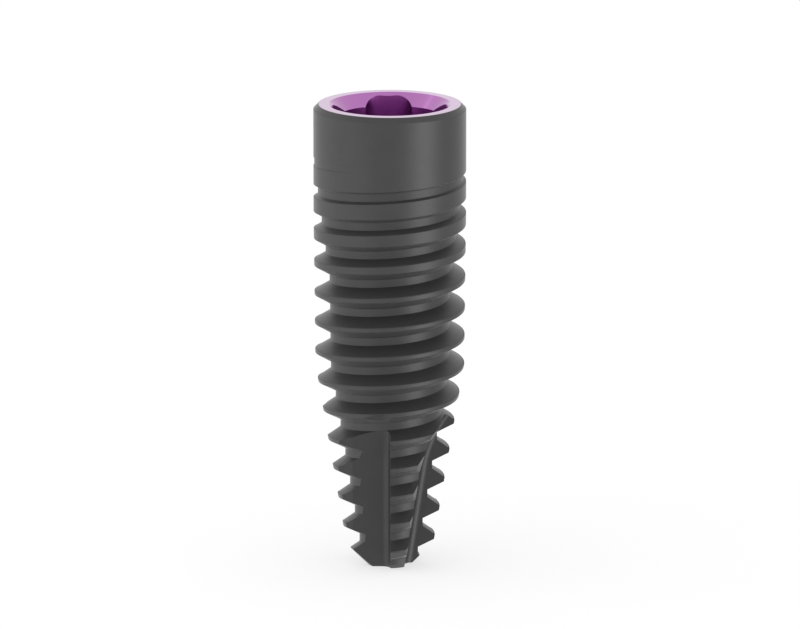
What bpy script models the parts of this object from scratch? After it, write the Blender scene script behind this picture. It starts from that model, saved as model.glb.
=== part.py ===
"""A tapered, self-tapping dental implant, turned from one bar, with a four-lobed socket.

Metres, +Z up. The origin is the centre of the flat tip, and the head faces up.
"""

import math

import bmesh
import bpy
from mathutils import Matrix, Vector

MM = 0.001

# Turned outline
LENGTH = 13.0 * MM
HEAD_RADIUS = 2.1 * MM
HEAD_LENGTH = 3.0 * MM
SHOULDER_STEP = 0.042 * MM
SHOULDER_RADIUS = HEAD_RADIUS - SHOULDER_STEP
TAPER_LENGTH = 5.7 * MM
TAPER_ANGLE = math.radians(9.4)
TIP_RADIUS = 0.62 * MM
TIP_ANGLE = math.radians(45.0)
RIM_CHAMFER = 0.12 * MM

# Thread, a single right-hand groove that starts shallow under the head
PITCH = 0.819 * MM
FLANK_ANGLE = math.radians(30.0)
ROOT_FLAT = 0.2 * MM
CREST_FLAT = 0.11 * MM
TIP_CREST_FLAT = 0.17 * MM
GROOVE_END_DEPTH = 1.43 * MM
GROOVE_FADE = 3.5 * MM
GROOVE_END_AZIMUTH = math.radians(-10.0)

# Cutting flutes
FLUTE_COUNT = 4
FLUTE_STRAIGHT = 2.9 * MM
FLUTE_RUNOUT = 2.6 * MM
FLUTE_CORE = 0.49 * MM
FLUTE_OFFSET = 0.05 * MM
FLUTE_FLOOR_ANGLE = math.radians(9.0)
FLUTE_RAKE = math.radians(8.0)
FLUTE_FILLET = 0.32 * MM

# Socket, each radius a step in from the one above it
RIM_WIDTH = 0.3 * MM
CONE_RADIUS = HEAD_RADIUS - RIM_CHAMFER - RIM_WIDTH
CONE_WIDTH = 0.305 * MM
CONE_ANGLE = math.radians(43.0)
SOCKET_RADIUS = CONE_RADIUS - CONE_WIDTH
SOCKET_DEPTH = 2.2 * MM
LOBE_COUNT = 4
LOBE_REACH = 0.212 * MM
LOBE_RADIUS = SOCKET_RADIUS + LOBE_REACH
LOBE_WIDTH = 1.308 * MM
LOBE_ROUNDING = 0.75
LOBE_CORNER = LOBE_WIDTH / 2.0 * LOBE_ROUNDING
LOBE_TURN = math.radians(1.5)
SOCKET_LEDGE = 0.225 * MM
GUIDE_RADIUS = SOCKET_RADIUS - SOCKET_LEDGE
GUIDE_DEPTH = SOCKET_DEPTH + 1.2 * MM
GUIDE_LEDGE = 0.35 * MM
SCREW_RADIUS = GUIDE_RADIUS - GUIDE_LEDGE
SCREW_DEPTH = GUIDE_DEPTH + 3.6 * MM
DRILL_ANGLE = math.radians(59.0)

# Facets
TURN_STEPS = 64
BORE_STEPS = 48
ARC_STEPS = 5
RUNOUT_STEPS = 5
RUNOUT_TURN = math.radians(45.0)
MERGE = 0.0005 * MM
OVERSHOOT = 1.0 * MM
SHARP_ANGLE = math.radians(24.0)

METAL, ANODISED = 0, 1


def clear_scene():
    for obj in list(bpy.data.objects):
        bpy.data.objects.remove(obj, do_unlink=True)


def make_material(name, colour, roughness):
    material = bpy.data.materials.new(name)
    material.use_nodes = True
    shader = material.node_tree.nodes["Principled BSDF"]
    shader.inputs["Base Color"].default_value = (*colour, 1.0)
    shader.inputs["Metallic"].default_value = 1.0
    shader.inputs["Roughness"].default_value = roughness
    material.diffuse_color = (*colour, 1.0)
    return material


def make_object(name, bm, materials):
    mesh = bpy.data.meshes.new(name)
    bmesh.ops.recalc_face_normals(bm, faces=bm.faces)
    bm.to_mesh(mesh)
    bm.free()
    for material in materials:
        mesh.materials.append(material)
    obj = bpy.data.objects.new(name, mesh)
    bpy.context.scene.collection.objects.link(obj)
    return obj


def crest_radius(height):
    """Radius of the turned outline, which the thread crests keep."""
    head_start = LENGTH - HEAD_LENGTH
    if height >= head_start:
        return HEAD_RADIUS
    if height >= TAPER_LENGTH:
        share = (height - TAPER_LENGTH) / (head_start - TAPER_LENGTH)
        return SHOULDER_RADIUS + share * (HEAD_RADIUS - SHOULDER_RADIUS)
    return SHOULDER_RADIUS - (TAPER_LENGTH - height) * math.tan(TAPER_ANGLE)


def groove_depth(height):
    """Depth of the thread groove, which fades out below the head."""
    share = min(1.0, max(0.0, height / TAPER_LENGTH))
    crest_flat = TIP_CREST_FLAT + share * (CREST_FLAT - TIP_CREST_FLAT)
    full = (PITCH - ROOT_FLAT - crest_flat) / (2.0 * math.tan(FLANK_ANGLE))
    to_end = LENGTH - GROOVE_END_DEPTH - height
    return full * min(1.0, max(0.0, to_end / GROOVE_FADE))


def groove_section(height):
    """Radius and height of the groove's four corners, from its lower crest edge to its upper one."""
    depth = groove_depth(height)
    low_root = height - ROOT_FLAT / 2.0
    high_root = height + ROOT_FLAT / 2.0
    reach = depth * math.tan(FLANK_ANGLE)
    root = crest_radius(height) - depth
    low_crest = low_root - reach
    high_crest = high_root + reach
    return (
        (crest_radius(low_crest), low_crest),
        (root, low_root),
        (root, high_root),
        (crest_radius(high_crest), high_crest),
    )


def threaded_stock():
    """The bar with its thread and head, still untrimmed at the tip."""
    end_height = LENGTH - GROOVE_END_DEPTH
    turns = math.ceil(end_height / PITCH) + 2
    last = turns * TURN_STEPS
    step = 2.0 * math.pi / TURN_STEPS

    def azimuth(index):
        return GROOVE_END_AZIMUTH + (index - last) * step - math.pi / 2.0

    bm = bmesh.new()

    def add_point(radius, height, index):
        angle = azimuth(index)
        return bm.verts.new((radius * math.cos(angle), radius * math.sin(angle), height))

    rows = []
    for index in range(last + 1):
        height = end_height + (index - last) * PITCH / TURN_STEPS
        rows.append([add_point(r, z, index) for r, z in groove_section(height)])
    bottom_height = rows[0][0].co.z - PITCH
    bottom = [add_point(crest_radius(bottom_height), bottom_height, i) for i in range(TURN_STEPS)]
    shoulder = [add_point(HEAD_RADIUS, LENGTH - RIM_CHAMFER, i) for i in range(TURN_STEPS)]
    rim = [add_point(HEAD_RADIUS - RIM_CHAMFER, LENGTH, i) for i in range(TURN_STEPS)]

    # The groove: lower flank, root and upper flank
    for near, far in zip(rows, rows[1:]):
        for k in range(3):
            bm.faces.new((near[k], far[k], far[k + 1], near[k + 1]))
    # The crest between one turn of the groove and the next
    for i in range(last - TURN_STEPS):
        below, above = rows[i : i + 2], rows[i + TURN_STEPS : i + TURN_STEPS + 2]
        bm.faces.new((below[0][3], below[1][3], above[1][0], above[0][0]))
    # The plain stretches under the first turn and over the last one
    for i in range(TURN_STEPS):
        after = (i + 1) % TURN_STEPS
        lower = [bottom[i], bottom[after], rows[i + 1][0], rows[i][0]]
        if i == TURN_STEPS - 1:
            lower[2:3] = [rows[0][0], rows[0][3], rows[i + 1][0]]
        bm.faces.new(lower)
        j = last - TURN_STEPS + i
        upper = [rows[j][3], rows[j + 1][3], shoulder[after], shoulder[i]]
        if i == 0:
            upper += [rows[last][3], rows[last][0]]
        bm.faces.new(upper)
        bm.faces.new((shoulder[i], shoulder[after], rim[after], rim[i]))
    bm.faces.new(rows[0])
    bm.faces.new(bottom)
    bm.faces.new(rim).material_index = ANODISED
    bmesh.ops.remove_doubles(bm, verts=bm.verts, dist=MERGE)
    return bm


def turned_solid(profile, steps, material_index):
    """A closed profile of radius and height pairs, from the axis round to the axis, spun about Z."""
    bm = bmesh.new()
    points = [bm.verts.new((radius, 0.0, height)) for radius, height in profile]
    edges = [bm.edges.new(pair) for pair in zip(points, points[1:])]
    bmesh.ops.spin(
        bm,
        geom=points + edges,
        axis=(0.0, 0.0, 1.0),
        cent=(0.0, 0.0, 0.0),
        angle=2.0 * math.pi,
        steps=steps,
        use_merge=True,
    )
    bmesh.ops.remove_doubles(bm, verts=bm.verts, dist=MERGE)
    for face in bm.faces:
        face.material_index = material_index
    return bm


def prism(outline, low, high):
    """An outline of X and Y pairs, extruded along Z."""
    bm = bmesh.new()
    base = bm.faces.new([bm.verts.new((x, y, low)) for x, y in outline])
    made = bmesh.ops.extrude_face_region(bm, geom=[base])
    raised = [item for item in made["geom"] if isinstance(item, bmesh.types.BMVert)]
    bmesh.ops.translate(bm, verts=raised, vec=(0.0, 0.0, high - low))
    return bm


def tip_cutter():
    """What the lathe takes off below the tip's chamfer."""
    reach = HEAD_RADIUS + OVERSHOOT
    top = (reach - TIP_RADIUS) * math.tan(TIP_ANGLE)
    low = -LENGTH / 2.0
    return turned_solid(
        ((0.0, 0.0), (TIP_RADIUS, 0.0), (reach, top), (reach, low), (0.0, low)),
        TURN_STEPS,
        METAL,
    )


def arc_points(centre, radius, start, end):
    """Points on an arc of ARC_STEPS equal steps, both ends included."""
    for k in range(ARC_STEPS + 1):
        angle = start + (end - start) * k / ARC_STEPS
        yield centre[0] + radius * math.cos(angle), centre[1] + radius * math.sin(angle)


def flute_outline():
    """Plan of one flute at the tip: its floor, a fillet and the cutting face, closed outside the bar."""
    reach = HEAD_RADIUS + OVERSHOOT
    corner = Vector((-FLUTE_OFFSET, -FLUTE_CORE))
    wall = Vector((math.sin(FLUTE_RAKE), -math.cos(FLUTE_RAKE)))
    floor = Vector((-math.cos(FLUTE_FLOOR_ANGLE), math.sin(FLUTE_FLOOR_ANGLE)))
    half_angle = wall.angle(floor) / 2.0
    centre = corner + (wall + floor).normalized() * FLUTE_FILLET / math.sin(half_angle)
    fillet = arc_points(centre, FLUTE_FILLET, FLUTE_RAKE, math.pi / 2.0 - FLUTE_FLOOR_ANGLE)
    wall_end = corner + wall * reach
    floor_end = corner + floor * reach
    return [wall_end, *fillet, floor_end, (floor_end.x, wall_end.y)]


def flute_shift(height):
    """How far outward the cutter stands: along the tapered core, and then out of the bar on an arc."""
    shift = height * math.tan(TAPER_ANGLE)
    past = max(0.0, height - FLUTE_STRAIGHT)
    return shift + FLUTE_RUNOUT - math.sqrt(FLUTE_RUNOUT**2 - past**2)


def flute_cutter():
    """The space that the milling cutter sweeps: the plan outline at each height, skinned."""
    outline = flute_outline()
    rise = FLUTE_RUNOUT * math.sin(RUNOUT_TURN)
    heights = [-OVERSHOOT]
    heights += [FLUTE_STRAIGHT + rise * k / RUNOUT_STEPS for k in range(RUNOUT_STEPS + 1)]
    bm = bmesh.new()
    loops = []
    for height in heights:
        shift = flute_shift(height)
        loops.append([bm.verts.new((x, y - shift, height)) for x, y in outline])
    for below, above in zip(loops, loops[1:]):
        for k in range(len(outline)):
            after = (k + 1) % len(outline)
            bm.faces.new((below[k], below[after], above[after], above[k]))
    bm.faces.new(loops[0])
    bm.faces.new(loops[-1])
    return bm


def bore_cutter():
    """The turned part of the socket: lead-in cone, socket, guide bore, screw bore and drill point."""
    slope = math.tan(CONE_ANGLE)
    wide = CONE_RADIUS + OVERSHOOT
    return turned_solid(
        (
            (0.0, LENGTH + OVERSHOOT / slope),
            (wide, LENGTH + OVERSHOOT / slope),
            (SOCKET_RADIUS, LENGTH - (CONE_RADIUS - SOCKET_RADIUS) / slope),
            (SOCKET_RADIUS, LENGTH - SOCKET_DEPTH),
            (GUIDE_RADIUS, LENGTH - SOCKET_DEPTH),
            (GUIDE_RADIUS, LENGTH - GUIDE_DEPTH),
            (SCREW_RADIUS, LENGTH - GUIDE_DEPTH - GUIDE_LEDGE),
            (SCREW_RADIUS, LENGTH - SCREW_DEPTH),
            (0.0, LENGTH - SCREW_DEPTH - SCREW_RADIUS / math.tan(DRILL_ANGLE)),
        ),
        BORE_STEPS,
        ANODISED,
    )


def lobe_cutter():
    """One lobe of the socket: a slot with a round-cornered outer end, along +X."""
    half = LOBE_WIDTH / 2.0
    across = half - LOBE_CORNER
    along = LOBE_RADIUS - LOBE_CORNER
    quarter = math.pi / 2.0
    outline = [
        (0.0, -half),
        *arc_points((along, -across), LOBE_CORNER, -quarter, 0.0),
        *arc_points((along, across), LOBE_CORNER, 0.0, quarter),
        (0.0, half),
    ]
    bm = prism(outline, LENGTH - SOCKET_DEPTH, LENGTH + OVERSHOOT)
    for face in bm.faces:
        face.material_index = ANODISED
    return bm


def weld(mesh):
    """Merges points closer together than any real edge is long, and leaves plain triangles."""
    bm = bmesh.new()
    bm.from_mesh(mesh)
    bmesh.ops.remove_doubles(bm, verts=bm.verts, dist=MERGE)
    bmesh.ops.dissolve_degenerate(bm, edges=bm.edges, dist=MERGE)
    bmesh.ops.triangulate(bm, faces=bm.faces)
    bm.to_mesh(mesh)
    bm.free()


def cut(body, cutter):
    """Takes the cutter out of the body, and keeps the cutter's own finish on the new faces."""
    cutter.hide_render = True
    cutter.display_type = "WIRE"
    modifier = body.modifiers.new(cutter.name, "BOOLEAN")
    modifier.object = cutter
    modifier.operation = "DIFFERENCE"
    modifier.solver = "EXACT"
    bpy.context.view_layer.update()
    bpy.context.view_layer.objects.active = body
    bpy.ops.object.modifier_apply(modifier=modifier.name)
    bpy.data.objects.remove(cutter, do_unlink=True)
    weld(body.data)


def build_implant():
    finishes = (
        make_material("blasted_titanium", (0.085, 0.085, 0.087), 0.45),
        make_material("magenta_anodised", (0.42, 0.16, 0.43), 0.25),
    )
    body = make_object("implant_body", threaded_stock(), finishes)
    cut(body, make_object("tip_cutter", tip_cutter(), finishes))
    for k in range(FLUTE_COUNT):
        flute = make_object(f"flute_cutter_{k}", flute_cutter(), finishes)
        flute.matrix_world = Matrix.Rotation(k * 2.0 * math.pi / FLUTE_COUNT, 4, "Z")
        cut(body, flute)
    cut(body, make_object("bore_cutter", bore_cutter(), finishes))
    for k in range(LOBE_COUNT):
        lobe = make_object(f"lobe_cutter_{k}", lobe_cutter(), finishes)
        lobe.matrix_world = Matrix.Rotation(LOBE_TURN + k * 2.0 * math.pi / LOBE_COUNT, 4, "Z")
        cut(body, lobe)
    body.data.shade_smooth()
    body.data.set_sharp_from_angle(angle=SHARP_ANGLE)


clear_scene()
build_implant()
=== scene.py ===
"""Looks of a tapered dental implant: thread, cutting flutes, lobed socket, finishes and stage."""

import math

import bpy
import numpy as np
from bpy.props import FloatProperty, FloatVectorProperty, IntProperty, PointerProperty
from mathutils import Matrix, Vector


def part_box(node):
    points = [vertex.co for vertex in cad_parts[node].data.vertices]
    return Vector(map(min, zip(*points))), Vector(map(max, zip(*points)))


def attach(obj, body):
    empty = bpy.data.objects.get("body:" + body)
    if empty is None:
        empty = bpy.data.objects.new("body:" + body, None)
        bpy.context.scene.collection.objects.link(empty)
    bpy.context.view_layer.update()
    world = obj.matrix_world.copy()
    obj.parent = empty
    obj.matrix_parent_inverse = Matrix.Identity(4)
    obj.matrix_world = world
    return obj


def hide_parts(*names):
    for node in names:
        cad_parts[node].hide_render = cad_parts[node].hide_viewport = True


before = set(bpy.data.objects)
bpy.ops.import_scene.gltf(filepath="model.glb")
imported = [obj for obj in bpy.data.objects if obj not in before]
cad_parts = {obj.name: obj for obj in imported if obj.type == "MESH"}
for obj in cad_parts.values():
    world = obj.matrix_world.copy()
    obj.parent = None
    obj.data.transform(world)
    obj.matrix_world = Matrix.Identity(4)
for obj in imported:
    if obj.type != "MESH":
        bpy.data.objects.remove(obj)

bl_info = {
    "name": "Dental implant",
    "version": (1, 0, 0),
    "blender": (4, 5, 0),
    "location": "3D View > Sidebar > Implant",
    "description": "Turns, threads, mills and finishes a tapered dental implant",
    "category": "Object",
}

MM = 0.001
NODE = "implant_body"
PIECE = "implant"
CAD_LOW, CAD_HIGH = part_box(NODE)
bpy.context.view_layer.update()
CENTRE = (0.0, 0.0, 0.0)

# The finishes, in the order that every mesh lists them.
FINISHES = ("blasted_titanium", "milled_titanium", "anodised_magenta")
TITANIUM, FLUTE_FINISH, ANODISED = range(len(FINISHES))

# Points nearer than this are one point.
MERGE = 0.00005 * MM
# How far a cutter stands out of the metal, and where the cutters under the tip start.
OVERSHOOT = 0.6 * MM
CUTTER_LOW = -2.0 * OVERSHOOT
# Turns wound beyond those that the length of the bar and of the screw bore take.
SPARE_TURNS = 3
SCREW_SPARE_TURNS = 2
# The head is raised from this share of a pitch above the groove's end.
HEAD_START = 0.6
# A face is level where its normal rises more than this.
LEVEL = 0.99
# Edges blunter than this are shaded smooth.
SMOOTH_ANGLE = math.radians(8.5)

# The ridge that cuts the screw bore's thread. Its core lies this share of the thread's depth inside
# the bore. The others are shares of a pitch: where it rises, and where its crest starts and ends.
RIDGE_CORE = 0.3
RIDGE_START, RIDGE_CREST, RIDGE_FALL = 0.19, 0.58, 0.67

# Blasted metal: factors of its grey, the share of the pits in its pattern, how far its roughness
# strays, and its two bumps, whose depths are shares of the grain.
GREY_DARK = (0.86, 0.86, 0.86)
GREY_LIGHT = (1.14, 1.14, 1.14)
PIT_SHARE = 0.35
BLASTED_STRAY = 0.03
SHEEN_ROUGHNESS = 0.3
PIT_STRENGTH, PIT_DEPTH = 0.35, 0.12
CELL_STRENGTH, CELL_DEPTH, CELL_DENSITY = 0.3, 0.1, 0.7

# Anodised metal: factors of its colour, how far its roughness strays, its clear oxide, and the bump
# of its turning marks, whose depth is a share of their spacing.
MAGENTA_DEEP = (0.94, 0.88, 1.02)
MAGENTA_PALE = (1.04, 1.1, 1.0)
RING_STRAY = 0.04
OXIDE_ROUGHNESS, OXIDE_IOR = 0.08, 1.6
RING_STRENGTH, RING_DEPTH = 0.06, 0.05

FLOOR_ROUGHNESS = 0.9
# Sockets of a Mix node that blends colours. Their names repeat, so they are found by number.
MIX_FACTOR, MIX_A, MIX_B, MIX_RESULT = 0, 6, 7, 2


def length(name, description, default, low=0.0):
    return FloatProperty(
        name=name, description=description, default=default, min=low, precision=6, unit="LENGTH"
    )


def angle(name, description, degrees):
    return FloatProperty(
        name=name, description=description, default=math.radians(degrees), subtype="ANGLE"
    )


def count(name, description, default):
    return IntProperty(name=name, description=description, default=default, min=1)


def colour(name, description, default):
    return FloatVectorProperty(
        name=name,
        description=description,
        default=default,
        subtype="COLOR",
        size=3,
        min=0.0,
        max=1.0,
    )


def share(name, description, default, high=1.0):
    return FloatProperty(name=name, description=description, default=default, min=0.0, max=high)


class TurnedSizes(bpy.types.PropertyGroup):
    """Sizes of the turned bar, before anything is cut into it."""

    length: length("Length", "From the flat tip to the rim", CAD_HIGH.z)
    head_radius: length("Head radius", "Radius of the smooth head", CAD_HIGH.x)
    head_length: length("Head length", "Height of the stretch at full radius", 3.0 * MM)
    shoulder_step: length(
        "Shoulder step", "How much slimmer the bar is where its taper starts", 0.042 * MM
    )
    taper_length: length("Taper length", "Height of the tapered end", 5.7 * MM)
    taper_angle: angle("Taper angle", "Slope of the taper against the axis", 9.4)
    tip_radius: length("Tip radius", "Radius of the flat tip", 0.62 * MM)
    tip_angle: angle("Tip angle", "Slope of the chamfer round the tip", 45.0)
    rim_chamfer: length("Rim chamfer", "Chamfer round the outside of the rim", 0.138 * MM)
    edge_round: length(
        "Edge rounding", "Radius of the broken edges at the rim and the tip", 0.02 * MM
    )
    steps: count("Steps", "Facets round the bar", 192)


class ThreadSizes(bpy.types.PropertyGroup):
    """Sizes of the outer thread, a single right-hand groove."""

    pitch: length("Pitch", "Rise of the groove in one turn", 0.8202 * MM)
    flank_angle: angle("Flank angle", "Slope of each flank against a level plane", 30.0)
    root_flat: length("Root flat", "Width of the flat at the bottom of the groove", 0.22 * MM)
    crest_flat: length("Crest flat", "Width of the crest above the taper", 0.11 * MM)
    tip_crest_flat: length("Tip crest flat", "Width of the crest at the tip", 0.15 * MM)
    crest_round: length("Crest rounding", "Radius of the crest's edges", 0.03 * MM)
    root_round: length("Root rounding", "Radius of the groove's inner corners", 0.02 * MM)
    end_depth: length("End depth", "Where the groove ends, below the rim", 1.408 * MM)
    fade: length("Fade", "Height over which the groove runs out", 3.5 * MM)
    end_azimuth: angle("End azimuth", "Where round the head the groove ends, from the front", -10.0)
    least_reach: share(
        "Least reach", "Share of the flanks' width that is left where the groove ends", 0.02
    )
    round_steps: count("Rounding steps", "Facets across each rounded edge", 3)


class FluteSizes(bpy.types.PropertyGroup):
    """Sizes of the cutting flutes, milled along the tapered end."""

    number: count("Flutes", "Flutes round the tip", 4)
    straight: length("Straight", "Height of the straight part", 2.75 * MM)
    runout: length("Run-out", "Radius of the milling cutter where it leaves the bar", 2.85 * MM)
    core: length("Core", "From the axis to the corner of the flute, at the tip", 0.395 * MM)
    lead: length("Lead", "How far past the axis the cutting face stands", 0.02 * MM)
    lean: angle("Lean", "Slope of the flute's floor against the axis", 8.7)
    relief: angle("Relief", "Turn of the floor's outer part in plan", 17.0)
    relief_start: length("Relief start", "From the corner to where the floor turns", 1.05 * MM)
    rake: angle("Rake", "Turn of the cutting face in plan", 0.0)
    fillet: length("Fillet", "Radius between the floor and the cutting face", 0.25 * MM)
    fillet_steps: count("Fillet steps", "Facets across the fillet", 10)
    straight_steps: count("Straight steps", "Levels along the straight part", 24)
    runout_steps: count("Run-out steps", "Facets along the run-out", 14)


class SocketSizes(bpy.types.PropertyGroup):
    """Sizes of the socket, each radius a step in from the one above it."""

    rim_width: length("Rim width", "Width of the flat rim", 0.282 * MM)
    cone_width: length("Cone width", "Width of the lead-in cone in plan", 0.305 * MM)
    cone_angle: angle("Cone angle", "Slope of the cone against the axis", 43.0)
    socket_depth: length("Socket depth", "From the rim to the ledge under the lobes", 2.2 * MM)
    lobe_number: count("Lobes", "Lobes round the socket", 4)
    lobe_reach: length("Lobe reach", "How far a lobe reaches past the socket wall", 0.221 * MM)
    lobe_width: length("Lobe width", "Width of a lobe", 1.308 * MM)
    lobe_rounding: share(
        "Lobe rounding", "Corner radius, as a share of half the lobe's width", 0.75
    )
    wall_draft: angle("Wall draft", "Slope of the round wall against the axis", 3.5)
    lobe_draft: angle("Lobe draft", "Slope of each lobe's outer wall against the axis", 3.7)
    lobe_turn: angle("Lobe turn", "Turn of the lobes against the frame's axes", 1.5)
    ledge: length("Socket ledge", "Width of the ledge at the socket's bottom", 0.225 * MM)
    guide_length: length("Guide length", "Height of the guide bore under the ledge", 1.2 * MM)
    guide_ledge: length(
        "Guide ledge", "Width of the 45 degree step above the screw bore", 0.35 * MM
    )
    screw_length: length(
        "Screw bore length", "From the guide bore to the end of the screw bore", 3.6 * MM
    )
    screw_pitch: length("Screw pitch", "Pitch of the thread in the screw bore", 0.35 * MM)
    screw_depth: length("Screw thread depth", "Depth of the thread in the screw bore", 0.14 * MM)
    drill_angle: angle("Drill angle", "Slope of the drilled end against the axis", 59.0)
    edge_break: length("Edge break", "Radius of the broken edge at the cone's mouth", 0.012 * MM)
    steps: count("Steps", "Facets round the socket", 144)
    lobe_steps: count("Lobe steps", "Facets across each corner of a lobe", 12)


class FinishColours(bpy.types.PropertyGroup):
    """Colours and roughness of the three finishes."""

    titanium: colour("Titanium", "Dark grey of the blasted metal", (0.053, 0.053, 0.053))
    titanium_metal: share(
        "Titanium metal", "Share of bare metal; the rest is its matt etched oxide", 0.5
    )
    titanium_sheen: share("Titanium sheen", "Specular level of the etched oxide", 0.35)
    titanium_roughness: share("Titanium roughness", "Roughness of the blasted metal", 0.42)
    titanium_dust: share(
        "Titanium dust", "Pale sheen of the etched grain where it is seen at a slant", 0.2
    )
    # The flutes take their own copy of the blasted titanium: a little darker grey, more bare metal
    # and less roughness, so that they render darker than the outside.
    milled: colour("Milled titanium", "Grey of the milled flutes", (0.05, 0.05, 0.05))
    flute_metal: share("Milled metal", "Share of bare metal in the flutes", 0.75)
    flute_roughness: share("Milled roughness", "Roughness of the milled flutes", 0.38)
    magenta: colour(
        "Anodised magenta", "Colour of the anodised rim and socket", (0.405, 0.125, 0.41)
    )
    magenta_roughness: share("Anodised roughness", "Roughness of the anodised metal", 0.25)
    grain: length("Grain", "Size of the pits that blasting leaves", 0.03 * MM)
    cloud: length("Cloud", "Size of the faint cloudy patches", 0.5 * MM)
    tool_mark: length("Tool mark", "Spacing of the turning marks", 0.035 * MM)


class StageSettings(bpy.types.PropertyGroup):
    """The floor, the lights and the camera."""

    floor_size: length("Floor size", "Side of the floor", 1600.0 * MM)
    floor_colour: colour("Floor colour", "White of the floor", (0.99, 0.99, 0.99))
    floor_glow: share("Floor glow", "Share of plain white that the floor shows the camera", 0.6)
    world_strength: share("World strength", "Level of the even light", 1.0, 4.0)
    softbox_distance: length("Softbox distance", "From the axis to each softbox", 50.0 * MM)
    softbox_height: length("Softbox height", "Height of each softbox", 120.0 * MM)
    softbox_turn: angle("Softbox turn", "From the front to the right and left softboxes", 52.5)
    side_turn: angle("Side softbox turn", "From the front to the side softbox", 97.5)
    right_width: length("Right softbox width", "Width of the softbox on the right", 28.0 * MM)
    left_width: length("Left softbox width", "Width of both softboxes on the left", 39.0 * MM)
    right_strength: share("Right softbox", "Radiance of the softbox on the right", 2.5, 9.0)
    left_strength: share("Left softbox", "Radiance of the softbox on the left", 0.5, 9.0)
    side_strength: share("Side softbox", "Radiance of the softbox to the left of it", 0.45, 9.0)
    camera_side: length("Camera side", "Camera's place along X", 0.28 * MM, -1.0)
    camera_distance: length(
        "Camera distance", "From the implant's axis to the camera, along the floor", 220.0 * MM
    )
    camera_height: length("Camera height", "Camera's height above the tip", 57.2621 * MM)
    camera_tilt: angle("Camera tilt", "How far the camera looks down", 12.8517)
    camera_lens: FloatProperty(
        name="Lens", description="Focal length in millimetres", default=368.1
    )


class ImplantSettings(bpy.types.PropertyGroup):
    """All the sizes and colours of the implant and its stage."""

    turned: PointerProperty(type=TurnedSizes)
    thread: PointerProperty(type=ThreadSizes)
    flutes: PointerProperty(type=FluteSizes)
    socket: PointerProperty(type=SocketSizes)
    finish: PointerProperty(type=FinishColours)
    stage: PointerProperty(type=StageSettings)


def deselect():
    """Leaves edit mode and selects nothing."""
    active = bpy.context.view_layer.objects.active
    if active and active.mode != "OBJECT":
        bpy.ops.object.mode_set(mode="OBJECT")
    bpy.ops.object.select_all(action="DESELECT")


def pick(obj):
    """Makes an object the only one selected, and the active one."""
    deselect()
    obj.select_set(True)
    bpy.context.view_layer.objects.active = obj


def finished_piece():
    """The bar, which the later steps cut and finish."""
    piece = bpy.data.objects.get(PIECE)
    if piece is None:
        raise RuntimeError("The bar has to be turned first")
    return piece


def extrude(step):
    """Extrudes what is selected in edit mode."""
    bpy.ops.mesh.extrude_region_move(TRANSFORM_OT_translate={"value": step})


def stretch(x, y):
    """Scales what is selected in edit mode, away from the axis."""
    bpy.ops.transform.resize(value=(x, y, 1.0), center_override=CENTRE)


def draw_chain(name, points):
    """An open chain of edges: one vertex, extruded from point to point."""
    deselect()
    start = Vector(points[0])
    bpy.ops.mesh.primitive_plane_add(size=MM, location=start)
    chain = bpy.context.object
    chain.name = name
    bpy.ops.object.transform_apply(location=True, rotation=True, scale=True)
    bpy.ops.object.mode_set(mode="EDIT")
    bpy.ops.mesh.select_mode(type="VERT")
    bpy.ops.mesh.select_all(action="SELECT")
    bpy.ops.mesh.merge(type="CENTER")
    for here, there in zip(points, points[1:]):
        extrude(Vector(there) - Vector(here))
    bpy.ops.object.mode_set(mode="OBJECT")
    return chain


def fill_chain(chain):
    """Closes a chain with a face, and stays in edit mode with the face selected."""
    pick(chain)
    bpy.ops.object.mode_set(mode="EDIT")
    bpy.ops.mesh.select_all(action="SELECT")
    bpy.ops.mesh.edge_face_add()


def apply_modifier(obj, kind, **settings):
    """Adds a modifier, sets it up and applies it."""
    pick(obj)
    bpy.ops.object.modifier_add(type=kind)
    modifier = obj.modifiers[-1]
    for key, value in settings.items():
        setattr(modifier, key, value)
    bpy.ops.object.modifier_apply(modifier=modifier.name)
    if obj.modifiers:
        raise RuntimeError(f"The {kind.lower()} modifier can't be applied to {obj.name}")


def wind(chain, steps, pitch=0.0, turns=1):
    """Winds a chain round Z, either one level turn or several that climb by the pitch."""
    apply_modifier(
        chain,
        "SCREW",
        axis="Z",
        angle=2.0 * math.pi,
        screw_offset=pitch,
        iterations=turns,
        steps=steps,
        render_steps=steps,
    )


def merge_and_face_out(obj):
    """Welds what meets, with a modifier because the edit-mode merge can't go under a micrometre."""
    apply_modifier(obj, "WELD", merge_threshold=MERGE)
    bpy.ops.object.mode_set(mode="EDIT")
    bpy.ops.mesh.select_all(action="SELECT")
    bpy.ops.mesh.normals_make_consistent(inside=False)
    bpy.ops.object.mode_set(mode="OBJECT")


def named_material(name):
    """The material of that name, made where it isn't there yet."""
    return bpy.data.materials.get(name) or bpy.data.materials.new(name)


def add_finishes(obj, slot_index):
    """Gives an object the finishes in the same order, and one of them on all its faces."""
    obj.data.materials.clear()
    for name in FINISHES:
        obj.data.materials.append(named_material(name))
    obj.data.polygons.foreach_set("material_index", [slot_index] * len(obj.data.polygons))


def turn_profile(name, profile, steps, slot_index):
    """A closed solid, wound round Z from pairs of radius and height that start and end there."""
    solid = draw_chain(name, [(radius, 0.0, height) for radius, height in profile])
    wind(solid, steps)
    merge_and_face_out(solid)
    add_finishes(solid, slot_index)
    return solid


def arc(centre, radius, start, end, steps):
    """Points on an arc, both ends included."""
    for k in range(steps + 1):
        turn = start + (end - start) * k / steps
        yield centre[0] + radius * math.cos(turn), centre[1] + radius * math.sin(turn)


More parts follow.
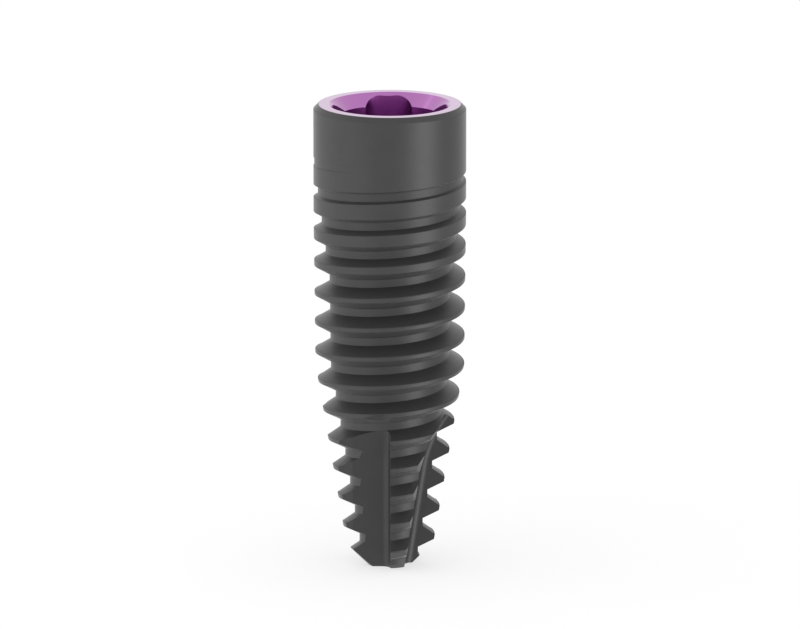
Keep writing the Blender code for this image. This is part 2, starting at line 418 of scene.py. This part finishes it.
def rounded_corner(before, corner, after, radius, steps=2):
    """Points of an arc that breaks the corner between two straight runs of a profile."""
    before, corner, after = Vector(before), Vector(corner), Vector(after)
    back, ahead = (before - corner).normalized(), (after - corner).normalized()
    half = back.angle(ahead) / 2.0
    centre = corner + (back + ahead).normalized() * radius / math.sin(half)
    first = corner + back * radius / math.tan(half) - centre
    turn = first.angle_signed(corner + ahead * radius / math.tan(half) - centre)
    for k in range(steps + 1):
        spoke = first.copy()
        spoke.rotate(Matrix.Rotation(-turn * k / steps, 2))
        yield tuple(centre + spoke)


def cut_level(obj, height, keep_above):
    """Cuts an object off at a height and closes the cut."""
    pick(obj)
    bpy.ops.object.mode_set(mode="EDIT")
    bpy.ops.mesh.select_all(action="SELECT")
    bpy.ops.mesh.bisect(
        plane_co=(0.0, 0.0, height),
        plane_no=(0.0, 0.0, 1.0),
        use_fill=True,
        clear_inner=keep_above,
        clear_outer=not keep_above,
        threshold=MERGE,
    )
    bpy.ops.object.mode_set(mode="OBJECT")


def make_triangles(obj):
    """Splits the faces, since a bent one comes out of a Boolean folded."""
    apply_modifier(obj, "TRIANGULATE", quad_method="BEAUTY", ngon_method="BEAUTY")


def subtract(obj, cutter):
    """Cuts one solid out of another."""
    make_triangles(cutter)
    apply_modifier(obj, "BOOLEAN", object=cutter, operation="DIFFERENCE", solver="MANIFOLD")
    bpy.data.objects.remove(cutter, do_unlink=True)
    if not obj.data.polygons:
        raise RuntimeError(f"Nothing is left of {obj.name}")


def turned_copy(obj, turn):
    """A copy of an object with its own mesh, turned round Z."""
    pick(obj)
    bpy.ops.object.duplicate()
    bpy.ops.transform.rotate(value=turn, orient_axis="Z", center_override=CENTRE)
    bpy.ops.object.transform_apply(location=True, rotation=True, scale=True)
    return bpy.context.object


def copies_round_axis(obj, number):
    """Joins an object and its copies round Z."""
    made = [turned_copy(obj, 2.0 * math.pi * k / number) for k in range(1, number)]
    pick(obj)
    for copy in made:
        copy.select_set(True)
    bpy.ops.object.join()
    return obj


def crest_radii(heights, turned):
    """Radius of the bar's outline at each height, which the thread's crests keep.

    The taper goes on below the tip, by its own length."""
    shoulder = turned.head_radius - turned.shoulder_step
    low = -turned.taper_length
    narrow = shoulder - (turned.taper_length - low) * math.tan(turned.taper_angle)
    return np.interp(
        heights,
        (low, turned.taper_length, turned.length - turned.head_length, turned.length),
        (narrow, shoulder, turned.head_radius, turned.head_radius),
    )


def full_groove_depth(crest_flat, thread):
    """Depth that leaves a crest of the given width between two turns of the groove."""
    flanks = thread.pitch - thread.root_flat - crest_flat
    return flanks / (2.0 * math.tan(thread.flank_angle))


def groove_shares(heights, turned, thread):
    """Depth of the groove at each height, as a share of its full depth."""
    crest_flats = (thread.tip_crest_flat, thread.crest_flat)
    depths = full_groove_depth(np.interp(heights, (0.0, turned.taper_length), crest_flats), thread)
    fade = np.clip((turned.length - thread.end_depth - heights) / thread.fade, 0.0, 1.0)
    return depths / full_groove_depth(thread.crest_flat, thread) * fade


def half_groove(thread):
    """Upper half of the full groove: how far past the root's flat and how far below the crest."""
    depth = full_groove_depth(thread.crest_flat, thread)
    reach = depth * math.tan(thread.flank_angle)
    flank_turn = math.pi / 2.0 - thread.flank_angle
    root_start = thread.root_round * math.tan(flank_turn / 2.0)
    crest_start = thread.crest_round * math.tan(flank_turn / 2.0)
    points = []
    for k in range(thread.round_steps + 1):
        turn = flank_turn * k / thread.round_steps
        past = thread.root_round * math.sin(turn) - root_start
        points.append((past, depth - thread.root_round * (1.0 - math.cos(turn))))
    for k in range(thread.round_steps + 1):
        turn = flank_turn * (1.0 - k / thread.round_steps)
        past = reach + crest_start - thread.crest_round * math.sin(turn)
        points.append((past, thread.crest_round * (1.0 - math.cos(turn))))
    return points


def wind_thread(turned, thread):
    """The bar with its groove, open at both ends: one turn's section is wound on a screw,
    and each point then takes the radius and height that the taper and the fading groove give it."""
    half = half_groove(thread)
    beyond, below = np.array(half[::-1] + half).T
    sides = np.array([-1.0] * len(half) + [1.0] * len(half))
    flat = thread.root_flat / 2.0
    end_height = turned.length - thread.end_depth
    turns = math.ceil(end_height / thread.pitch) + SPARE_TURNS
    first_height = end_height + thread.pitch - turns * thread.pitch
    section = [
        Vector((turned.head_radius - depth, 0.0, first_height + offset))
        for depth, offset in zip(below, sides * (flat + beyond))
    ]
    section.append(section[0] + Vector((0.0, 0.0, thread.pitch)))
    rod = draw_chain(PIECE, section)
    wind(rod, turned.steps, thread.pitch, turns)

    # Vertices come one section after another. A section's last point is the next turn's first.
    station, corner = np.divmod(np.arange(len(rod.data.vertices)), len(section))
    wraps = corner == len(section) - 1
    station[wraps] += turned.steps
    corner[wraps] = 0

    # The front is the way of -Y, a quarter turn back from X.
    start = thread.end_azimuth - math.pi / 2.0
    azimuths = start + 2.0 * math.pi * station / turned.steps
    groove_heights = first_height + thread.pitch * station / turned.steps
    shares = groove_shares(groove_heights, turned, thread)
    reaches = beyond[corner] * np.maximum(shares, thread.least_reach)
    heights = groove_heights + sides[corner] * (flat + reaches)
    blend = below[corner] / full_groove_depth(thread.crest_flat, thread)
    crests = crest_radii(heights, turned)
    outline = crests * (1.0 - blend) + crest_radii(groove_heights, turned) * blend
    radii = outline - below[corner] * shares
    moved = np.stack((radii * np.cos(azimuths), radii * np.sin(azimuths), heights), axis=1)
    rod.data.vertices.foreach_set("co", moved.ravel())
    rod.data.update()
    merge_and_face_out(rod)
    return rod


def raise_rim(rod, turned, start_height):
    """Raises the closed top of the bar to the rim, with the chamfer and its broken edges."""
    top = turned.length
    low = (turned.head_radius, top - turned.rim_chamfer)
    high = (turned.head_radius - turned.rim_chamfer, top)
    start = (turned.head_radius, start_height)
    outline = [start]
    outline += rounded_corner(start, low, high, turned.edge_round)
    outline += rounded_corner(low, high, (0.0, top), turned.edge_round)
    pick(rod)
    bpy.ops.object.mode_set(mode="EDIT")
    bpy.ops.mesh.select_mode(type="FACE")
    bpy.ops.mesh.select_all(action="DESELECT")
    bpy.ops.object.mode_set(mode="OBJECT")
    for face in rod.data.polygons:
        face.select = face.normal.z > LEVEL and face.center.z > start_height - MERGE
    bpy.ops.object.mode_set(mode="EDIT")
    for here, there in zip(outline, outline[1:]):
        extrude((0.0, 0.0, there[1] - here[1]))
        scale = there[0] / here[0]
        stretch(scale, scale)
    rod.active_material_index = ANODISED
    bpy.ops.object.material_slot_assign()
    bpy.ops.object.mode_set(mode="OBJECT")


def tip_outline(turned):
    """Radius and height of what is turned off below the tip and round it."""
    reach = turned.head_radius + OVERSHOOT
    edge = (turned.tip_radius, 0.0)
    side = (reach, (reach - turned.tip_radius) * math.tan(turned.tip_angle))
    outline = [(0.0, 0.0)]
    outline += rounded_corner((0.0, 0.0), edge, side, turned.edge_round)
    outline += [side, (reach, CUTTER_LOW), (0.0, CUTTER_LOW)]
    return outline


class IMPLANT_OT_turn_bar(bpy.types.Operator):
    """Turn the bar, cut its thread and chamfer its tip and rim"""

    bl_idname = "implant.turn_bar"
    bl_label = "Turn and thread the bar"
    bl_options = {"REGISTER", "UNDO"}

    def execute(self, context):
        turned = context.scene.implant.turned
        thread = context.scene.implant.thread
        rod = wind_thread(turned, thread)
        head_start = turned.length - thread.end_depth + HEAD_START * thread.pitch
        cut_level(rod, -OVERSHOOT, True)
        cut_level(rod, head_start, False)
        add_finishes(rod, TITANIUM)
        raise_rim(rod, turned, head_start)
        merge_and_face_out(rod)
        make_triangles(rod)
        subtract(rod, turn_profile("tip_cutter", tip_outline(turned), turned.steps, TITANIUM))
        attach(rod, "root")
        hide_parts(NODE)
        return {"FINISHED"}


def flute_plan(sizes, reach):
    """Plan of one flute at the tip: cutting face, fillet, floor and relief, closed past the bar."""
    corner = Vector((sizes.lead, -sizes.core))
    wall = Vector((math.sin(sizes.rake), -math.cos(sizes.rake)))
    floor = Vector((-1.0, 0.0))
    half = wall.angle(floor) / 2.0
    centre = corner + (wall + floor).normalized() * sizes.fillet / math.sin(half)
    fillet = arc(centre, sizes.fillet, sizes.rake, math.pi / 2.0, sizes.fillet_steps)
    wall_end = corner + wall * reach
    bend = corner + floor * sizes.relief_start
    floor_end = bend + Vector((-math.cos(sizes.relief), math.sin(sizes.relief))) * reach
    return [tuple(wall_end), *fillet, tuple(bend), tuple(floor_end), (floor_end.x, wall_end.y)]


def flute_heights(sizes):
    """Levels of the flute cutter, up the straight part and then up 45 degrees of the run-out."""
    span = sizes.straight - CUTTER_LOW
    rise = sizes.runout / math.sqrt(2.0)
    heights = [CUTTER_LOW + span * k / sizes.straight_steps for k in range(sizes.straight_steps)]
    for k in range(sizes.runout_steps + 1):
        heights.append(sizes.straight + rise * k / sizes.runout_steps)
    return heights


def flute_shift(height, sizes):
    """How far out a flute lies at a height, by its lean and by the arc of its run-out."""
    past = max(0.0, height - sizes.straight)
    arc_shift = sizes.runout - math.sqrt(sizes.runout**2 - past**2)
    return height * math.tan(sizes.lean) + arc_shift


class IMPLANT_OT_mill_flutes(bpy.types.Operator):
    """Mill the cutting flutes into the tapered end"""

    bl_idname = "implant.mill_flutes"
    bl_label = "Mill the cutting flutes"
    bl_options = {"REGISTER", "UNDO"}

    def execute(self, context):
        piece = finished_piece()
        turned = context.scene.implant.turned
        sizes = context.scene.implant.flutes
        plan = flute_plan(sizes, turned.head_radius + OVERSHOOT)
        places = [(flute_shift(height, sizes), height) for height in flute_heights(sizes)]
        first, low = places[0]
        cutter = draw_chain("flute_cutter", [(x, y - first, low) for x, y in plan])
        fill_chain(cutter)
        for here, there in zip(places, places[1:]):
            extrude((0.0, here[0] - there[0], there[1] - here[1]))
        bpy.ops.object.mode_set(mode="OBJECT")
        merge_and_face_out(cutter)
        # The cutter hands the faces it cuts the flutes' copy of the titanium, a little darker and
        # more metallic than the blasted outside.
        add_finishes(cutter, FLUTE_FINISH)
        subtract(piece, copies_round_axis(cutter, sizes.number))
        return {"FINISHED"}


def mouth_radius(turned, socket):
    """Radius of the socket at the rim."""
    return turned.head_radius - turned.rim_chamfer - socket.rim_width


def wall_radius(turned, socket):
    """Radius of the socket's round wall, under the cone."""
    return mouth_radius(turned, socket) - socket.cone_width


def bore_outline(turned, socket):
    """Radius and height of the socket's turned part, from above the rim to the drill point."""
    top = turned.length
    cone = mouth_radius(turned, socket)
    wall = wall_radius(turned, socket)
    guide = wall - socket.ledge
    screw = guide - socket.guide_ledge
    ledge_height = top - socket.socket_depth
    guide_end = ledge_height - socket.guide_length
    screw_end = guide_end - socket.screw_length
    wide = (cone + OVERSHOOT, top)
    mouth = (cone, top)
    throat = (wall, top - socket.cone_width / math.tan(socket.cone_angle))
    narrowing = (throat[1] - ledge_height) * math.tan(socket.wall_draft)
    ledge = (wall - narrowing, ledge_height)
    outline = [(0.0, top + OVERSHOOT), (cone + OVERSHOOT, top + OVERSHOOT), wide]
    outline += rounded_corner(wide, mouth, throat, socket.edge_break)
    outline += rounded_corner(mouth, throat, ledge, socket.edge_break)
    outline += [
        ledge,
        (guide, ledge_height),
        (guide, guide_end),
        (screw, guide_end - socket.guide_ledge),
        (screw, screw_end),
        (0.0, screw_end - screw / math.tan(socket.drill_angle)),
    ]
    return outline


def lobe_cutter(turned, socket):
    """One lobe along the X axis: a slot whose round-cornered outer end leans out to the rim."""
    half = socket.lobe_width / 2.0
    corner = half * socket.lobe_rounding
    across = half - corner
    along = wall_radius(turned, socket) + socket.lobe_reach - corner
    quarter = math.pi / 2.0
    plan = [(0.0, -half)]
    plan += arc((along, -across), corner, -quarter, 0.0, socket.lobe_steps)
    plan += arc((along, across), corner, 0.0, quarter, socket.lobe_steps)
    plan += [(0.0, half)]
    low = turned.length - socket.socket_depth
    outer = along + corner
    narrowing = 1.0 - socket.socket_depth * math.tan(socket.lobe_draft) / outer
    widening = 1.0 + OVERSHOOT * math.tan(socket.lobe_draft) / outer
    cutter = draw_chain("lobe_cutter", [(narrowing * x, y, low) for x, y in plan])
    fill_chain(cutter)
    extrude((0.0, 0.0, socket.socket_depth + OVERSHOOT))
    stretch(widening / narrowing, 1.0)
    bpy.ops.object.mode_set(mode="OBJECT")
    merge_and_face_out(cutter)
    add_finishes(cutter, ANODISED)
    return cutter


def screw_thread_cutter(turned, socket):
    """The fine thread of the screw bore: a wound ridge round a plain core."""
    screw = wall_radius(turned, socket) - (socket.ledge + socket.guide_ledge)
    pitch = socket.screw_pitch
    guide_end = turned.length - socket.socket_depth - socket.guide_length
    top = guide_end - socket.guide_ledge / 2.0
    low = guide_end - socket.screw_length + pitch
    turns = math.ceil((top - low) / pitch) + SCREW_SPARE_TURNS
    core = screw - RIDGE_CORE * socket.screw_depth
    crest = screw + socket.screw_depth
    ridge = (
        (core, 0.0),
        (core, RIDGE_START),
        (crest, RIDGE_CREST),
        (crest, RIDGE_FALL),
        (core, 1.0),
    )
    # The section starts half a facet round, so that its facets don't meet the bore's.
    half_facet = math.pi / socket.steps
    section = [
        (radius * math.cos(half_facet), radius * math.sin(half_facet), low - pitch + pitch * rise)
        for radius, rise in ridge
    ]
    cutter = draw_chain("screw_thread_cutter", section)
    wind(cutter, socket.steps, pitch, turns)
    merge_and_face_out(cutter)
    cut_level(cutter, low, True)
    cut_level(cutter, top, False)
    merge_and_face_out(cutter)
    add_finishes(cutter, ANODISED)
    return cutter


class IMPLANT_OT_bore_socket(bpy.types.Operator):
    """Bore the socket with its cone, lobes, guide bore and screw thread"""

    bl_idname = "implant.bore_socket"
    bl_label = "Bore the lobed socket"
    bl_options = {"REGISTER", "UNDO"}

    def execute(self, context):
        piece = finished_piece()
        turned = context.scene.implant.turned
        socket = context.scene.implant.socket
        outline = bore_outline(turned, socket)
        subtract(piece, turn_profile("bore_cutter", outline, socket.steps, ANODISED))
        subtract(piece, screw_thread_cutter(turned, socket))
        lobe = lobe_cutter(turned, socket)
        for k in range(socket.lobe_number):
            turn = 2.0 * math.pi * k / socket.lobe_number - socket.lobe_turn
            subtract(piece, turned_copy(lobe, turn))
        bpy.data.objects.remove(lobe, do_unlink=True)
        pick(piece)
        bpy.ops.object.shade_smooth_by_angle(angle=SMOOTH_ANGLE)
        return {"FINISHED"}


def fresh_shader(material):
    """Empties a material's node tree and gives it an output and a shader."""
    material.use_nodes = True
    tree = material.node_tree
    tree.nodes.clear()
    output = tree.nodes.new("ShaderNodeOutputMaterial")
    shader = tree.nodes.new("ShaderNodeBsdfPrincipled")
    tree.links.new(shader.outputs["BSDF"], output.inputs["Surface"])
    return tree, shader


def set_inputs(tree, node, inputs):
    """Links each of a node's inputs to a socket, or gives it a value."""
    for key, value in inputs.items():
        if isinstance(value, bpy.types.NodeSocket):
            tree.links.new(value, node.inputs[key])
        else:
            node.inputs[key].default_value = value


def add_node(tree, kind, inputs, **settings):
    """Adds a node, sets it up and fills its inputs."""
    node = tree.nodes.new(kind)
    for key, value in settings.items():
        setattr(node, key, value)
    set_inputs(tree, node, inputs)
    return node


def scaled_noise(tree, place, size, detail, roughness):
    """Noise whose lumps are about as large as the given size."""
    inputs = {"Vector": place, "Scale": 1.0 / size, "Detail": detail, "Roughness": roughness}
    return add_node(tree, "ShaderNodeTexNoise", inputs).outputs["Fac"]


def strayed(tree, pattern, middle, stray):
    """Maps a 0 to 1 pattern onto the span round a number."""
    inputs = {"Value": pattern, "To Min": middle - stray, "To Max": middle + stray}
    return add_node(tree, "ShaderNodeMapRange", inputs).outputs["Result"]


def varied_colour(tree, pattern, base, dark, light):
    """A colour that runs from dark to light with a pattern, both given as factors of the base."""
    inputs = {MIX_FACTOR: pattern}
    for key, factors in ((MIX_A, dark), (MIX_B, light)):
        tint = [channel * factor for channel, factor in zip(base, factors)]
        inputs[key] = (*tint, 1.0)
    return add_node(tree, "ShaderNodeMix", inputs, data_type="RGBA").outputs[MIX_RESULT]


def add_bump(tree, height, strength, depth, over=None):
    """The normal that a pattern's bump gives, laid over another bump where there is one."""
    inputs = {"Height": height, "Strength": strength, "Distance": depth}
    if over is not None:
        inputs["Normal"] = over
    return add_node(tree, "ShaderNodeBump", inputs).outputs["Normal"]


def grain_titanium(name, finish, grey, metal, roughness):
    """Dark grey metal with fine pits and faint clouds."""
    tree, shader = fresh_shader(named_material(name))
    place = add_node(tree, "ShaderNodeTexCoord", {}).outputs["Object"]
    cloud = scaled_noise(tree, place, finish.cloud, detail=3.0, roughness=0.55)
    pits = scaled_noise(tree, place, finish.grain, detail=4.0, roughness=0.7)
    cell_inputs = {"Vector": place, "Scale": CELL_DENSITY / finish.grain}
    cells = add_node(tree, "ShaderNodeTexVoronoi", cell_inputs, feature="F1").outputs["Distance"]
    patch_inputs = {"Factor": PIT_SHARE, "A": cloud, "B": pits}
    patches = add_node(tree, "ShaderNodeMix", patch_inputs, data_type="FLOAT").outputs[0]
    pit_bump = add_bump(tree, pits, PIT_STRENGTH, finish.grain * PIT_DEPTH)
    cell_bump = add_bump(tree, cells, CELL_STRENGTH, finish.grain * CELL_DEPTH, pit_bump)
    set_inputs(
        tree,
        shader,
        {
            "Base Color": varied_colour(tree, patches, grey, GREY_DARK, GREY_LIGHT),
            "Metallic": metal,
            "Specular IOR Level": finish.titanium_sheen,
            "Sheen Weight": finish.titanium_dust,
            "Sheen Roughness": SHEEN_ROUGHNESS,
            "Roughness": strayed(tree, pits, roughness, BLASTED_STRAY),
            "Normal": cell_bump,
        },
    )


def anodise_magenta(finish):
    """Bright magenta oxide on turned metal: fine rings from the tool, and a faint shift of hue."""
    tree, shader = fresh_shader(named_material(FINISHES[ANODISED]))
    place = add_node(tree, "ShaderNodeTexCoord", {}).outputs["Object"]
    split = add_node(tree, "ShaderNodeSeparateXYZ", {"Vector": place}).outputs
    plan_inputs = {"X": split["X"], "Y": split["Y"]}
    plan = add_node(tree, "ShaderNodeCombineXYZ", plan_inputs).outputs["Vector"]
    radius = add_node(tree, "ShaderNodeVectorMath", {0: plan}, operation="LENGTH").outputs["Value"]
    along_inputs = {0: radius, 1: split["Z"]}
    along = add_node(tree, "ShaderNodeMath", along_inputs, operation="SUBTRACT").outputs[0]
    ring_place = add_node(tree, "ShaderNodeCombineXYZ", {"X": along}).outputs["Vector"]
    rings = scaled_noise(tree, ring_place, finish.tool_mark, detail=2.0, roughness=0.6)
    cloud = scaled_noise(tree, place, finish.cloud, detail=2.0, roughness=0.5)
    set_inputs(
        tree,
        shader,
        {
            "Base Color": varied_colour(tree, cloud, finish.magenta, MAGENTA_DEEP, MAGENTA_PALE),
            "Metallic": 1.0,
            "Coat Weight": 1.0,
            "Coat Roughness": OXIDE_ROUGHNESS,
            "Coat IOR": OXIDE_IOR,
            "Roughness": strayed(tree, rings, finish.magenta_roughness, RING_STRAY),
            "Normal": add_bump(tree, rings, RING_STRENGTH, finish.tool_mark * RING_DEPTH),
        },
    )


class IMPLANT_OT_finish_surfaces(bpy.types.Operator):
    """Blast the outside and anodise the rim and the socket"""

    bl_idname = "implant.finish_surfaces"
    bl_label = "Blast and anodise"
    bl_options = {"REGISTER", "UNDO"}

    def execute(self, context):
        finished_piece()
        finish = context.scene.implant.finish
        blasted = (finish.titanium, finish.titanium_metal, finish.titanium_roughness)
        # The flutes get the same blasted titanium, with a little darker grey, more bare metal and
        # less roughness.
        milled = (finish.milled, finish.flute_metal, finish.flute_roughness)
        grain_titanium(FINISHES[TITANIUM], finish, *blasted)
        grain_titanium(FINISHES[FLUTE_FINISH], finish, *milled)
        anodise_magenta(finish)
        return {"FINISHED"}


def add_softbox(name, stage, turn, width, radiance):
    """An upright softbox that faces the implant; its turn goes from the front to the right."""
    deselect()
    distance = stage.softbox_distance
    place = (distance * math.sin(turn), -distance * math.cos(turn), CAD_HIGH.z / 2.0)
    bpy.ops.object.light_add(type="AREA", location=place, rotation=(math.pi / 2.0, 0.0, turn))
    lamp = bpy.context.object
    lamp.name = name
    lamp.data.shape = "RECTANGLE"
    lamp.data.size = width
    lamp.data.size_y = stage.softbox_height
    lamp.data.energy = radiance * math.pi * width * stage.softbox_height
    return lamp


def white_floor(stage):
    """Matt white that takes the shadow, part of it shown to the camera as plain white."""
    material = named_material("white_floor")
    tree, shader = fresh_shader(material)
    matt = {
        "Base Color": (*stage.floor_colour, 1.0),
        "Roughness": FLOOR_ROUGHNESS,
        "Specular IOR Level": 0.0,
    }
    set_inputs(tree, shader, matt)
    seen = add_node(tree, "ShaderNodeLightPath", {}).outputs["Is Camera Ray"]
    amount_inputs = {0: seen, 1: stage.floor_glow}
    amount = add_node(tree, "ShaderNodeMath", amount_inputs, operation="MULTIPLY").outputs[0]
    white = add_node(tree, "ShaderNodeEmission", {"Strength": 1.0}).outputs["Emission"]
    mix_inputs = {0: amount, 1: shader.outputs["BSDF"], 2: white}
    mixed = add_node(tree, "ShaderNodeMixShader", mix_inputs).outputs["Shader"]
    tree.links.new(mixed, tree.nodes["Material Output"].inputs["Surface"])
    return material


class IMPLANT_OT_set_stage(bpy.types.Operator):
    """Set the floor, the lights and the camera"""

    bl_idname = "implant.set_stage"
    bl_label = "Set the stage"
    bl_options = {"REGISTER", "UNDO"}

    def execute(self, context):
        stage = context.scene.implant.stage
        deselect()
        bpy.ops.mesh.primitive_plane_add(size=stage.floor_size, location=(0.0, 0.0, CAD_LOW.z))
        floor = bpy.context.object
        floor.name = "floor"
        bpy.ops.object.transform_apply(location=True, rotation=True, scale=True)
        floor.data.materials.append(white_floor(stage))
        # The world lights the metal from underneath, so only the camera sees the floor.
        floor.visible_diffuse = False
        floor.visible_glossy = False
        floor.visible_shadow = False

        world = bpy.data.worlds.new("studio")
        context.scene.world = world
        world.use_nodes = True
        background = world.node_tree.nodes["Background"]
        background.inputs["Color"].default_value = (1.0, 1.0, 1.0, 1.0)
        background.inputs["Strength"].default_value = stage.world_strength

        turn, width = stage.softbox_turn, stage.left_width
        right = add_softbox("right_softbox", stage, turn, stage.right_width, stage.right_strength)
        # The right softbox lights the gloss alone.
        right.visible_diffuse = False
        add_softbox("left_softbox", stage, -turn, width, stage.left_strength)
        add_softbox("side_softbox", stage, -stage.side_turn, width, stage.side_strength)

        bpy.ops.object.camera_add(
            location=(stage.camera_side, -stage.camera_distance, stage.camera_height),
            rotation=(math.pi / 2.0 - stage.camera_tilt, 0.0, 0.0),
        )
        camera = bpy.context.object
        camera.name = "camera"
        camera.data.lens = stage.camera_lens
        camera.data.clip_start = MM
        context.scene.camera = camera
        context.scene.view_settings.view_transform = "Standard"
        return {"FINISHED"}


class IMPLANT_PT_sidebar(bpy.types.Panel):
    """Lists the steps and the sizes of the implant"""

    bl_idname = "IMPLANT_PT_sidebar"
    bl_label = "Dental implant"
    bl_space_type = "VIEW_3D"
    bl_region_type = "UI"
    bl_category = "Implant"

    def draw(self, context):
        settings = context.scene.implant
        for step in STEPS:
            self.layout.operator(step.bl_idname)
        for name in ("turned", "thread", "flutes", "socket", "finish", "stage"):
            group = getattr(settings, name)
            box = self.layout.box()
            box.label(text=name.capitalize())
            for key in group.__annotations__:
                box.prop(group, key)


STEPS = (
    IMPLANT_OT_turn_bar,
    IMPLANT_OT_mill_flutes,
    IMPLANT_OT_bore_socket,
    IMPLANT_OT_finish_surfaces,
    IMPLANT_OT_set_stage,
)
CLASSES = (
    TurnedSizes,
    ThreadSizes,
    FluteSizes,
    SocketSizes,
    FinishColours,
    StageSettings,
    ImplantSettings,
    *STEPS,
    IMPLANT_PT_sidebar,
)


def register():
    for item in CLASSES:
        bpy.utils.register_class(item)
    bpy.types.Scene.implant = PointerProperty(type=ImplantSettings)


def unregister():
    del bpy.types.Scene.implant
    for item in reversed(CLASSES):
        bpy.utils.unregister_class(item)


def main():
    register()
    bpy.ops.implant.turn_bar()
    bpy.ops.implant.mill_flutes()
    bpy.ops.implant.bore_socket()
    bpy.ops.implant.finish_surfaces()
    bpy.ops.implant.set_stage()


if __name__ == "__main__":
    main()
